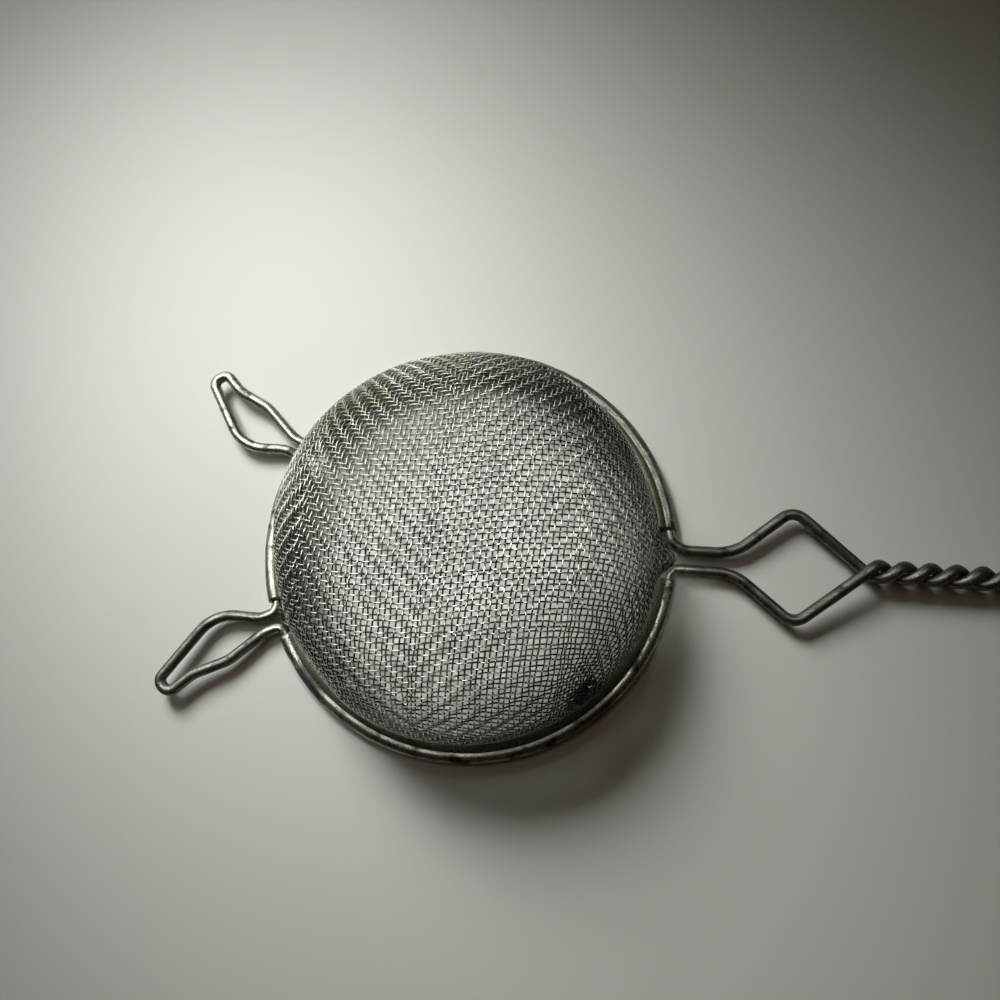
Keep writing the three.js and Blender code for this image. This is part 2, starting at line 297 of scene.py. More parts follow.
class WireSweep:
    """Geometry Nodes tree that turns lines of points into round wires, woven where they carry a side."""

    def __init__(self) -> None:
        """Build the tree and its named inputs."""
        self.tree = bpy.data.node_groups.new("wire sweep", "GeometryNodeTree")
        sockets = self.tree.interface
        sockets.new_socket("Geometry", in_out="OUTPUT", socket_type="NodeSocketGeometry")
        sockets.new_socket("Geometry", in_out="INPUT", socket_type="NodeSocketGeometry")
        kinds = {
            "Wire Diameter": "NodeSocketFloat",
            "Weave Height": "NodeSocketFloat",
            "Sides": "NodeSocketInt",
            "Steps": "NodeSocketInt",
            "Finish": "NodeSocketMaterial",
        }
        self.identifiers = {
            name: sockets.new_socket(name, in_out="INPUT", socket_type=kind).identifier
            for name, kind in kinds.items()
        }
        self._link()

    def _link(self) -> None:
        """Add the nodes: weave the lines, sweep a circle along them and note the place on the wire."""
        tree = self.tree
        given = add_node(tree, "NodeGroupInput").outputs
        kinds = {Trait.ALONG: "FLOAT", Trait.OVER: "FLOAT", Trait.OUTWARD: "FLOAT_VECTOR"}
        along, over, outward = (
            add_node(tree, "GeometryNodeInputNamedAttribute", {"Name": trait.value}, data_type=kind)
            for trait, kind in kinds.items()
        )
        curve = add_node(tree, "GeometryNodeMeshToCurve", {"Mesh": given["Geometry"]})
        curve = add_node(tree, "GeometryNodeCurveSplineType", {"Curve": curve}, spline_type="CATMULL_ROM")
        finer = {"Geometry": curve, "Resolution": given["Steps"]}
        curve = add_node(tree, "GeometryNodeSetSplineResolution", finer)
        level = add_node(tree, "ShaderNodeClamp", {"Value": over, "Min": -1.0, "Max": 1.0})
        lift = add_node(tree, "ShaderNodeMath", {0: level, 1: given["Weave Height"]}, operation="MULTIPLY")
        offset = add_node(tree, "ShaderNodeVectorMath", {0: outward, "Scale": lift}, operation="SCALE")
        woven = add_node(tree, "GeometryNodeSetPosition", {"Geometry": curve, "Offset": offset})
        radius = add_node(tree, "ShaderNodeMath", {0: given["Wire Diameter"], 1: 2.0}, operation="DIVIDE")
        section = {"Resolution": given["Sides"], "Radius": radius}
        circle = add_node(tree, "GeometryNodeCurvePrimitiveCircle", section)
        around = add_node(tree, "GeometryNodeCaptureAttribute", {"Geometry": circle})
        around.capture_items.new("FLOAT", "Around")
        turn = add_node(tree, "GeometryNodeSplineParameter")
        tree.links.new(turn.outputs["Factor"], around.inputs["Around"])
        swept = {"Curve": woven, "Profile Curve": around.outputs["Geometry"], "Fill Caps": True}
        wire = add_node(tree, "GeometryNodeCurveToMesh", swept)
        whole_turn = {0: around.outputs["Around"], 1: 2 * math.pi}
        angle = add_node(tree, "ShaderNodeMath", whole_turn, operation="MULTIPLY")
        across = []
        for wave in ("COSINE", "SINE"):
            swing = add_node(tree, "ShaderNodeMath", {0: angle}, operation=wave)
            across.append(add_node(tree, "ShaderNodeMath", {0: swing, 1: radius}, operation="MULTIPLY"))
        place = add_node(tree, "ShaderNodeCombineXYZ", {0: along, 1: across[0], 2: across[1]})
        normal = add_node(tree, "GeometryNodeInputNormal")
        facing = add_node(tree, "ShaderNodeVectorMath", {0: normal, 1: outward}, operation="DOT_PRODUCT")
        notes = ((Trait.PLACE, "FLOAT_VECTOR", place), (Trait.FACING, "FLOAT", facing.outputs["Value"]))
        for trait, kind, value in notes:
            note = {"Geometry": wire, "Name": trait.value, "Value": value}
            wire = add_node(tree, "GeometryNodeStoreNamedAttribute", note, data_type=kind, domain="POINT")
        wire = add_node(tree, "GeometryNodeSetShadeSmooth", {"Geometry": wire})
        wire = add_node(tree, "GeometryNodeRealizeInstances", {"Geometry": wire})
        wire = add_node(tree, "GeometryNodeSetMaterial", {"Geometry": wire, "Material": given["Finish"]})
        add_node(tree, "NodeGroupOutput", {"Geometry": wire})

    def sweep(self, lines: bpy.types.Object, **inputs: object) -> None:
        """Run the tree on an object of lines, which keeps the wires as its plain mesh and no modifier.

        Args:
            lines: a mesh of points and edges that carries the traits.
            inputs: the tree's inputs, with underscores for spaces.
        """
        modifier = lines.modifiers.new("wire sweep", "NODES")
        modifier.node_group = self.tree
        for name, value in inputs.items():
            modifier[self.identifiers[name.replace("_", " ").title()]] = value
        graph = bpy.context.evaluated_depsgraph_get()
        swept = lines.evaluated_get(graph)
        mesh = bpy.data.meshes.new_from_object(swept, preserve_all_data_layers=True, depsgraph=graph)
        lines.modifiers.remove(modifier)
        plain, lines.data = lines.data, mesh
        bpy.data.meshes.remove(plain)
        mesh.name = lines.name


@dataclass(frozen=True)
class SootAndShade:
    """A darker stretch of a wire or of the rim: soot and tarnish in some places, painted shade in others."""

    at: float  # millimetres along the wire from its butt end, or along the rim from the handle by the back
    reach: float
    depth: float  # share of the metal's own colour that it takes
    edge: float = 0.6  # share of the reach over which it fades


@dataclass(frozen=True)
class TinnedFinish:
    """Tin-dipped steel that has been drawn or rolled, and has gone dull and olive-brown in use.

    The tin keeps narrow bright streaks along the wire, between a grey bloom and patches of brown tarnish, and
    small pits where it has gone through to the steel.
    """

    name: str
    bright: str
    bloom: str
    tarnish: str
    pit: str
    polish: float  # roughness of the bright streaks
    haze: float  # roughness of the tarnish
    streak_mm: float  # width of a streak
    streak_run: float  # length of a streak over its width
    patch_mm: float  # across a patch of tarnish
    pit_mm: float
    tarnish_from: float  # level of the patch noise at which tarnish starts
    pit_from: float
    crust: float = 0.6  # share of tarnish that no longer shines as metal
    # grime, with painted shade: the flange and the crease of the fold take this olive colour
    grime_and_shade: str = "#8d8976"
    grime_and_shade_inside: float = 0.0  # radius in the rim inside which grime and painted shade cover the fold, in millimetres
    grime_and_shade_edge: float = 0.7  # millimetres over which it comes in
    grime_and_shade_depth: float = 0.8  # share of the metal's own colour that it takes
    soot_and_shade: tuple[SootAndShade, ...] = ()
    streak_noise: Pair = (5.0, 0.6)  # detail and roughness
    patch_noise: Pair = (6.0, 0.62)
    pit_noise: Pair = (2.0, 0.5)
    streak_levels: Pair = (0.36, 0.66)
    tarnish_edge: float = 0.17  # levels over which tarnish comes in
    pit_edge: float = 0.05
    bloom_haze: float = 0.12  # roughness that the bloom adds
    pit_depth: float = 0.7  # of a pit, where the streaks count as 1
    relief: Pair = (0.35, 0.06)  # strength, and height in millimetres

    def material(self) -> bpy.types.Material:
        """Build the node material.

        Returns:
            The material.
        """
        made, tree = blank_material(self.name)
        place = add_node(tree, "ShaderNodeAttribute", attribute_name=Trait.PLACE.value).outputs["Vector"]
        stretch = {"Vector": place, "Scale": (1 / self.streak_run, 1, 1)}
        stretched = add_node(tree, "ShaderNodeMapping", stretch)
        tarnish_levels = self.tarnish_from, self.tarnish_from + self.tarnish_edge
        pit_levels = self.pit_from, self.pit_from + self.pit_edge
        grains, shares = [], []
        for where, size, (detail, roughness), (low, high) in (
            (stretched, self.streak_mm, self.streak_noise, self.streak_levels),
            (place, self.patch_mm, self.patch_noise, tarnish_levels),
            (place, self.pit_mm, self.pit_noise, pit_levels),
        ):
            noise = {"Vector": where, "Scale": 1 / (size * MM), "Detail": detail, "Roughness": roughness}
            grains.append(add_node(tree, "ShaderNodeTexNoise", noise).outputs["Fac"])
            span = {0: grains[-1], 1: low, 2: high}
            shares.append(add_node(tree, "ShaderNodeMapRange", span, interpolation_type="SMOOTHSTEP"))
        streak, stain, hole = shares
        coats = [(stain, self.tarnish)]
        along, reach = add_node(tree, "ShaderNodeSeparateXYZ", {0: place}).outputs[:2]
        # darker stretches: soot and tarnish, and painted shade where a stretch stands in for dim light
        for darkening in self.soot_and_shade:
            off = add_node(tree, "ShaderNodeMath", {0: along, 1: darkening.at * MM}, operation="SUBTRACT")
            away = add_node(tree, "ShaderNodeMath", {0: off}, operation="ABSOLUTE")
            core = (1 - darkening.edge) * darkening.reach * MM
            span = {0: away, 1: darkening.reach * MM, 2: core, 4: darkening.depth}
            darkened = add_node(tree, "ShaderNodeMapRange", span, interpolation_type="SMOOTHSTEP")
            coats.append((darkened, self.pit))
        # grime and painted shade: inside a radius of the section, the flange and the crease are painted olive
        if self.grime_and_shade_inside:
            full = (self.grime_and_shade_inside - self.grime_and_shade_edge) * MM
            span = {0: reach, 1: self.grime_and_shade_inside * MM, 2: full, 4: self.grime_and_shade_depth}
            grimed_and_shaded = add_node(tree, "ShaderNodeMapRange", span, interpolation_type="SMOOTHSTEP")
            coats.append((grimed_and_shaded, self.grime_and_shade))
        coats.append((hole, self.pit))
        tin = {"Factor": streak, 6: linear(self.bloom), 7: linear(self.bright)}
        colour = add_node(tree, "ShaderNodeMix", tin, data_type="RGBA").outputs[2]
        dull = 0.0
        for share, coat in coats:
            layer = {"Factor": share, 6: colour, 7: linear(coat)}
            colour = add_node(tree, "ShaderNodeMix", layer, data_type="RGBA").outputs[2]
            dull = add_node(tree, "ShaderNodeMath", {0: dull, 1: share}, operation="MAXIMUM")
        worn = {0: streak, 3: self.polish + self.bloom_haze, 4: self.polish}
        rough = {"Factor": dull, 2: add_node(tree, "ShaderNodeMapRange", worn), 3: self.haze}
        height = {0: hole, 1: -self.pit_depth, 2: grains[0]}
        strength, size = self.relief
        bump = {
            "Strength": strength,
            "Distance": size * MM,
            "Height": add_node(tree, "ShaderNodeMath", height, operation="MULTIPLY_ADD"),
        }
        surface = {
            "Base Color": colour,
            "Metallic": add_node(tree, "ShaderNodeMapRange", {0: dull, 3: 1.0, 4: 1.0 - self.crust}),
            "Roughness": add_node(tree, "ShaderNodeMix", rough, data_type="FLOAT"),
            "Normal": add_node(tree, "ShaderNodeBump", bump),
        }
        shader = add_node(tree, "ShaderNodeBsdfPrincipled", surface)
        add_node(tree, "ShaderNodeOutputMaterial", {"Surface": shader})
        return made


@dataclass(frozen=True)
class Stain:
    """A stained place on the cloth, in millimetres from the ring's centre on the table."""

    at: Triple
    reach: float
    colour: str
    depth: float  # share of the wire's own colour that it takes
    broken: Pair = (0.32, 0.6)  # levels of the mottle between which it comes in
    core: float = 0.25  # share of the reach in which it is full


@dataclass(frozen=True)
class WovenFinish:
    """Drawn steel wire, tinned and woven: bright where it passes over, grey with residue and painted shade
    where it passes under.
    """

    name: str = "woven tinned wire"
    knuckle: str = "#d6d6d0"
    # residue, and painted shade: the wire takes this dark colour where it passes under its neighbour
    valley_residue_and_shade: str = "#46453f"
    bloom: str = "#aaa9a0"
    # painted shade: the flanks of each wire, where it lies between its neighbours, are painted this dark
    # colour
    flank_shade: str = "#2e2d2a"
    polish: float = 0.15
    haze: float = 0.26
    haze_levels: Pair = (0.3, 0.7)  # of the mottle
    patch_mm: float = 9.0
    patch_noise: Pair = (4.0, 0.6)  # detail and roughness
    patch_levels: Pair = (0.42, 0.68)
    mottle_mm: float = 2.5
    mottle_noise: Pair = (3.0, 0.6)
    knuckle_levels: Pair = (-0.6, 0.7)  # of the side on which the wire passes
    flank_shade_levels: Pair = (0.85, 0.3)  # of how far the surface faces outward
    patch_bloom: float = 0.35  # share of bloom in a dull patch
    lit_side_grey: float = 0.7  # share of a lighter bloom grey painted, as painted light, on the wall that faces the lamps
    lit_side: Triple = (-0.62, 0.78, 0.0)  # the way that wall faces, towards the lamps
    lit_side_reach: Pair = (-5.0, 48.0)  # millimetres towards that wall at which bloom starts and is full
    matt: float = 0.6  # share of bloom that no longer shines as metal
    stains: tuple[Stain, ...] = (
        Stain((-33.5, 28.5, 33.9), 9.0, "#6f6a34", 0.75),
        Stain((-24.5, 34.2, 35.3), 9.0, "#6f6a34", 0.70),
        Stain((-6.0, 47.0, 31.0), 10.0, "#767144", 0.65),
        Stain((37.5, -40.0, 17.5), 10.0, "#100e0b", 0.97, (0.05, 0.25)),
        Stain((40.3, 25.7, 30.5), 8.0, "#57564f", 0.45),
    )

    def material(self, centre: Vector) -> bpy.types.Material:
        """Build the node material.

        Args:
            centre: the ring's centre on the table, in metres.

        Returns:
            The material.
        """
        made, tree = blank_material(self.name)
        where = add_node(tree, "ShaderNodeTexCoord").outputs["Object"]
        place, over, facing = (
            add_node(tree, "ShaderNodeAttribute", attribute_name=trait.value).outputs[output]
            for trait, output in ((Trait.PLACE, "Vector"), (Trait.OVER, "Fac"), (Trait.FACING, "Fac"))
        )
        grains = []
        for vector, size, (detail, roughness) in (
            (where, self.patch_mm, self.patch_noise),
            (place, self.mottle_mm, self.mottle_noise),
        ):
            noise = {"Vector": vector, "Scale": 1 / (size * MM), "Detail": detail, "Roughness": roughness}
            grains.append(add_node(tree, "ShaderNodeTexNoise", noise).outputs["Fac"])
        patches, mottle = grains
        off = add_node(tree, "ShaderNodeVectorMath", {0: where, 1: centre}, operation="SUBTRACT")
        towards = {0: off, 1: self.lit_side}
        towards_lit_side = add_node(tree, "ShaderNodeVectorMath", towards, operation="DOT_PRODUCT").outputs["Value"]
        lit_side_reach = [reach * MM for reach in self.lit_side_reach]
        shares = []
        for value, (low, high), most in (
            (over, self.knuckle_levels, 1.0),
            (facing, self.flank_shade_levels, 1.0),
            (patches, self.patch_levels, self.patch_bloom),
            (towards_lit_side, lit_side_reach, self.lit_side_grey),
        ):
            span = {0: value, 1: low, 2: high, 4: most}
            shares.append(add_node(tree, "ShaderNodeMapRange", span, interpolation_type="SMOOTHSTEP"))
        knuckle, flank_shade, patch, wall = shares
        # painted light: the wall that faces the lamps takes a lighter, matter bloom grey, on top of the random
        # dull patches
        bloom_and_painted_light = add_node(tree, "ShaderNodeMath", {0: patch, 1: wall}, operation="MAXIMUM")
        coats = [(knuckle, self.knuckle), (flank_shade, self.flank_shade), (bloom_and_painted_light, self.bloom)]
        for stain in self.stains:
            middle = centre + Vector(stain.at) * MM
            away = add_node(tree, "ShaderNodeVectorMath", {0: where, 1: middle}, operation="DISTANCE")
            full = stain.core * stain.reach * MM
            near = {0: away.outputs["Value"], 1: stain.reach * MM, 2: full, 4: stain.depth}
            broken = {0: mottle, 1: stain.broken[0], 2: stain.broken[1]}
            both = [
                add_node(tree, "ShaderNodeMapRange", span, interpolation_type="SMOOTHSTEP")
                for span in (near, broken)
            ]
            share = add_node(tree, "ShaderNodeMath", dict(enumerate(both)), operation="MULTIPLY")
            coats.append((share, stain.colour))
        colour = linear(self.valley_residue_and_shade)
        for share, coat in coats:
            layer = {"Factor": share, 6: colour, 7: linear(coat)}
            colour = add_node(tree, "ShaderNodeMix", layer, data_type="RGBA").outputs[2]
        low, high = self.haze_levels
        rough = {0: mottle, 1: low, 2: high, 3: self.polish, 4: self.haze}
        surface = {
            "Base Color": colour,
            "Metallic": add_node(tree, "ShaderNodeMapRange", {0: bloom_and_painted_light, 3: 1.0, 4: 1.0 - self.matt}),
            "Roughness": add_node(tree, "ShaderNodeMapRange", rough),
        }
        shader = add_node(tree, "ShaderNodeBsdfPrincipled", surface)
        add_node(tree, "ShaderNodeOutputMaterial", {"Surface": shader})
        return made


@dataclass(frozen=True)
class ResidueFinish:
    """Dried residue, nearly black, with browner grains."""

    name: str = "dried residue"
    dark: str = "#17140f"
    grain: str = "#4a4131"
    grain_mm: float = 0.7
    grain_detail: float = 3.0
    roughness: float = 0.6
    relief: Pair = (0.4, 0.1)  # strength, and height in millimetres

    def material(self) -> bpy.types.Material:
        """Build the node material.

        Returns:
            The material.
        """
        made, tree = blank_material(self.name)
        where = add_node(tree, "ShaderNodeTexCoord").outputs["Object"]
        noise = {"Vector": where, "Scale": 1 / (self.grain_mm * MM), "Detail": self.grain_detail}
        grains = add_node(tree, "ShaderNodeTexNoise", noise).outputs["Fac"]
        colour = {"Factor": grains, 6: linear(self.dark), 7: linear(self.grain)}
        strength, size = self.relief
        bump = {"Strength": strength, "Distance": size * MM, "Height": grains}
        surface = {
            "Base Color": add_node(tree, "ShaderNodeMix", colour, data_type="RGBA").outputs[2],
            "Roughness": self.roughness,
            "Normal": add_node(tree, "ShaderNodeBump", bump),
        }
        shader = add_node(tree, "ShaderNodeBsdfPrincipled", surface)
        add_node(tree, "ShaderNodeOutputMaterial", {"Surface": shader})
        return made


FRAME_FINISH = TinnedFinish(
    name="tarnished tinned wire",
    bright="#c9c8be",
    bloom="#8a887d",
    tarnish="#45423a",
    pit="#1b1913",
    polish=0.25,
    haze=0.4,
    streak_mm=0.7,
    streak_run=9.0,
    patch_mm=5.0,
    pit_mm=0.4,
    tarnish_from=0.52,
    pit_from=0.58,
    crust=0.3,
    # the handle and the front ear are darker: tarnish, and on the handle also painted shade for its dim side
    # away from the lamps
    soot_and_shade=(SootAndShade(403.0, 150.0, 0.75, 0.1), SootAndShade(748.0, 46.0, 0.62, 0.25)),
)
BINDING_FINISH = TinnedFinish(
    name="dulled tinplate",
    bright="#cfcdc4",
    bloom="#8f8d83",
    tarnish="#3b382f",
    pit="#15130e",
    polish=0.22,
    haze=0.38,
    streak_mm=0.9,
    streak_run=7.0,
    patch_mm=6.0,
    pit_mm=0.4,
    tarnish_from=0.5,
    pit_from=0.575,
    crust=0.55,
    # grime and painted shade on the flange and in the crease of the fold
    grime_and_shade="#7b7663",
    grime_and_shade_inside=59.5,
    soot_and_shade=(
        # painted shade: the bead by the handle, on the back binding, is painted darker
        SootAndShade(36.0, 44.0, 0.5),
        # painted shade: the lower stretch of the front binding is painted darker
        SootAndShade(290.0, 65.0, 0.4),
        # two dark patches of soot on the front binding
        SootAndShade(236.0, 8.0, 0.85),
        SootAndShade(328.0, 9.0, 0.6),
    ),
)


@dataclass
class FrameWire:
    """One length of wire, bent to the ring of the rim, two rest ears and the handle with its hanging loop."""

    diameter: float = 3.3
    rim_diameter: float = 125.0
    strip: float = 0.5
    clearance: float = 0.3
    butt_gap: float = 0.6
    back_ear: float = 153.9  # degrees from the handle
    front_ear: float = -154.9
    ear_neck: float = 4.4
    ear_neck_reach: float = 6.0
    ear_elbow_reach: float = 18.6
    ear_outer_side: float = 8.6
    ear_inner_side: float = 6.4
    ear_waist_reach: float = 29.5
    back_ear_tip_reach: float = 37.9
    front_ear_tip_reach: float = 39.0
    ear_tip_side: float = 6.9
    ear_tip_width: float = 5.2
    ear_tip_turn: float = 28.5
    ear_rise: float = 2.0
    ear_root_bend: float = 3.0
    ear_neck_bend: float = 8.0
    ear_elbow_bend: float = 12.0
    ear_tip_bend: float = 2.4
    neck_width: float = 5.7
    neck_length: float = 18.0
    diamond_width: float = 33.0
    diamond_reach: float = 34.5
    crossing_reach: float = 54.6
    half_twists: int = 5
    loop_radius: float = 10.0
    handle_rise: float = 2.5
    back_root_bend: float = 6.0
    front_root_bend: float = 3.0
    neck_bend: float = 14.0
    diamond_bend: float = 4.5
    step: float = 0.8  # between two rings of the swept wire
    sides: int = 20
    crossing_points: int = 24  # laid along the leg that ends in the crossing
    half_twist_points: int = 36
    loop_points: int = 20  # laid from the twist to the bow of the loop
    node: str = "frame_wire"

    @property
    def bead_radius(self) -> float:
        """Outer radius of the binding's bead round the wire."""
        return self.diameter / 2 + self.clearance + self.strip

    @property
    def ring_radius(self) -> float:
        """Radius of the ring, to the middle of the wire."""
        return self.rim_diameter / 2 - self.bead_radius

    @property
    def twist_radius(self) -> float:
        """Distance of each wire of the twist from the handle's axis."""
        return (self.diameter + self.clearance) / 2

    @property
    def slope(self) -> float:
        """Angle at which the wires cross at the end of the diamond, in radians."""
        return math.atan2(self.diamond_width / 2, self.crossing_reach - self.diamond_reach)

    @property
    def twist_end(self) -> float:
        """Distance from the ring's centre to the end of the twist."""
        half_twist = math.pi * self.twist_radius / math.tan(self.slope)
        return self.ring_radius + self.crossing_reach + self.half_twists * half_twist

    @property
    def loop_centre(self) -> float:
        """Distance from the ring's centre to the middle of the hanging loop."""
        return self.twist_end + self.loop_radius / math.sin(self.slope)

    @property
    def centre(self) -> Vector:
        """The ring's centre on the table in metres, found from the far end of the handle in the frame."""
        reach = self.loop_centre + self.loop_radius + self.diameter / 2
        return Vector((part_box(self.node)[1].x - reach * MM, 0, 0))

    @property
    def origin(self) -> np.ndarray:
        """The same centre in millimetres."""
        return np.array(self.centre) / MM

    def root_angle(self, neck: float, bend: float) -> float:
        """Half the angle that a loop's two roots take up on the ring, in radians."""
        return math.asin((neck / 2 + bend) / (self.ring_radius + bend))

    def root_bend(self, neck: float, bend: float) -> list[complex]:
        """Bend from the ring out into a leg that lies half a neck from the loop's axis.

        Args:
            neck: distance between the loop's two legs.
            bend: radius of the bend.

        Returns:
            The points of the bend.
        """
        angle = self.root_angle(neck, bend)
        outward = cmath.exp(1j * angle)
        start, centre = self.ring_radius * outward, (self.ring_radius + bend) * outward
        return bend_points(start, centre, math.pi / 2 - angle)

    def corner(self, reach: float, side: float, bend: float = 0.0) -> Corner:
        """A corner at a reach out from the ring and a distance to the side."""
        return Corner(complex(self.ring_radius + reach, side), bend)

    def ear_route(self, tip_reach: float) -> list[complex]:
        """Lay out an ear in plan, its axis along X.

        Args:
            tip_reach: distance of the tip from the ring.

        Returns:
            The route from its root on the side away from the handle round to the other.
        """
        root = self.root_bend(self.ear_neck, self.ear_root_bend)
        tip = complex(self.ring_radius + tip_reach, -self.ear_tip_side)
        across = 1j * self.ear_tip_width / 2 * cmath.exp(-1j * math.radians(self.ear_tip_turn))
        legs = rounded_route(
            [
                Corner(root[-1]),
                self.corner(self.ear_neck_reach, self.ear_neck / 2, self.ear_neck_bend),
                self.corner(self.ear_elbow_reach, self.ear_outer_side, self.ear_elbow_bend),
                Corner(tip + across, self.ear_tip_bend),
                Corner(tip - across, self.ear_tip_bend),
                self.corner(self.ear_waist_reach, -self.ear_inner_side, self.ear_elbow_bend),
                self.corner(self.ear_elbow_reach, -self.ear_inner_side, self.ear_elbow_bend),
                self.corner(self.ear_neck_reach, -self.ear_neck / 2, self.ear_neck_bend),
                Corner(root[-1].conjugate()),
            ]
        )
        return [*root, *legs[1:-1], *mirrored(root)]

    def ear(self, route: list[complex], degrees: float) -> list[Triple]:
        """Set an ear at its place on the ring, rising to its tip.

        Args:
            route: the ear in plan, its axis along X.
            degrees: its place, from the handle.

        Returns:
            The points of the ear.
        """
        turn = cmath.exp(1j * math.radians(degrees))
        reaches = [p.real for p in route]
        rises = self.bead_radius + self.ear_rise * smoothstep(reaches, self.ring_radius, max(reaches))
        return [((p * turn).real, (p * turn).imag, z) for p, z in zip(route, rises)]

    def handle_half(self, bend: float) -> list[Triple]:
        """Lay out the back half of the handle.

        Args:
            bend: radius of the bend out of the ring.

        Returns:
            Points from the ring to the end of the loop, with Z measured from the handle's axis.
        """
        root = self.root_bend(self.neck_width, bend)
        crossing = self.corner(self.crossing_reach, 0)
        legs = rounded_route(
            [
                Corner(root[-1]),
                self.corner(self.neck_length, self.neck_width / 2, self.neck_bend),
                self.corner(self.diamond_reach, self.diamond_width / 2, self.diamond_bend),
                crossing,
            ]
        )
        route = [*root, *legs[1:-1], *np.linspace(legs[-2], legs[-1], self.crossing_points)[1:]]
        diamond = self.ring_radius + self.diamond_reach
        points = [
            (p.real, p.imag, -self.twist_radius * float(smoothstep(p.real, diamond, crossing.at.real)))
            for p in route
        ]
        turns = self.half_twists * self.half_twist_points
        for k in range(1, turns + 1):
            angle = self.half_twists * math.pi * k / turns
            along = crossing.at.real + (self.twist_end - crossing.at.real) * k / turns
            points.append((along, -self.twist_radius * math.sin(angle), -self.twist_radius * math.cos(angle)))
        side = 1 if self.half_twists % 2 else -1
        start = self.loop_centre + self.loop_radius * 1j * cmath.exp(1j * self.slope)
        bow = bend_points(start, complex(self.loop_centre), -(math.pi / 2 + self.slope))
        lead = np.linspace(complex(self.twist_end), bow[0], self.loop_points)[1:-1]
        for p in [*lead, *bow]:
            settle = 1 - float(smoothstep(p.real, self.twist_end, self.loop_centre + self.loop_radius))
            points.append((p.real, side * p.imag, side * self.twist_radius * settle))
        return points

    def handle(self) -> list[Triple]:
        """Join both halves of the handle, the front one turned half round the handle's axis.

        Returns:
            The points of the handle, from the back root to the front one.
        """
        back = self.handle_half(self.back_root_bend)
        front = [(x, -y, -z) for x, y, z in self.handle_half(self.front_root_bend)]
        both = [*back, *front[-2::-1]]
        far = self.ring_radius + self.crossing_reach
        rises = self.bead_radius + self.handle_rise * smoothstep([p[0] for p in both], self.ring_radius, far)
        return [(x, y, z + rise) for (x, y, z), rise in zip(both, rises)]

    def ring(self, first: float, last: float) -> list[Triple]:
        """The ring between two angles in radians."""
        start = self.ring_radius * cmath.exp(1j * first)
        return [(p.real, p.imag, self.bead_radius) for p in bend_points(start, 0, last - first)]

    def stops(self) -> dict[str, float]:
        """Find where the ring gives way to ears and handle.

        Returns:
            The angles in radians, in the order in which they come round by the back.
        """
        ear = self.root_angle(self.ear_neck, self.ear_root_bend)
        back, front = math.radians(self.back_ear), math.radians(self.front_ear)
        return {
            "back_handle": self.root_angle(self.neck_width, self.back_root_bend),
            "back_ear_near": back - ear,
            "back_ear_far": back + ear,
            "front_ear_far": front - ear,
            "front_ear_near": front + ear,
            "front_handle": -self.root_angle(self.neck_width, self.front_root_bend),
        }

    def centreline(self) -> np.ndarray:
        """Join the runs of wire.

        Returns:
            Points at an even step, in millimetres from the ring's centre, from one butt end to the other.
        """
        at = self.stops()
        end = math.pi - self.butt_gap / 2 / self.ring_radius
        runs = [
            self.ring(end, at["back_ear_far"]),
            self.ear(self.ear_route(self.back_ear_tip_reach), self.back_ear),
            self.ring(at["back_ear_near"], at["back_handle"]),
            self.handle(),
            self.ring(at["front_handle"], at["front_ear_near"]),
            self.ear(mirrored(self.ear_route(self.front_ear_tip_reach)), self.front_ear),
            self.ring(at["front_ear_far"], -end),
        ]
        joined = runs[0] + [p for run in runs[1:] for p in run[1:]]
        return evenly(np.array(joined), self.step)

    def build(self, sweep: WireSweep) -> None:
        """Sweep the wire along its centreline and dress it.

        Args:
            sweep: the tree that makes round wires.
        """
        points = self.centreline()
        count = len(points)
        edges = [(k, k + 1) for k in range(count - 1)]
        made = mesh_object("bent_frame_wire", points + self.origin, edges, [])
        store(made, Trait.ALONG, np.arange(count) * self.step * MM)
        store(made, Trait.OVER, np.zeros(count))
        store(made, Trait.OUTWARD, np.tile([0.0, 0.0, 1.0], (count, 1)))
        sweep.sweep(
            made,
            wire_diameter=self.diameter * MM,
            weave_height=0.0,
            sides=self.sides,
            steps=1,
            finish=FRAME_FINISH.material(),
        )
        dress(made, Slot.FRAME, [self.node])


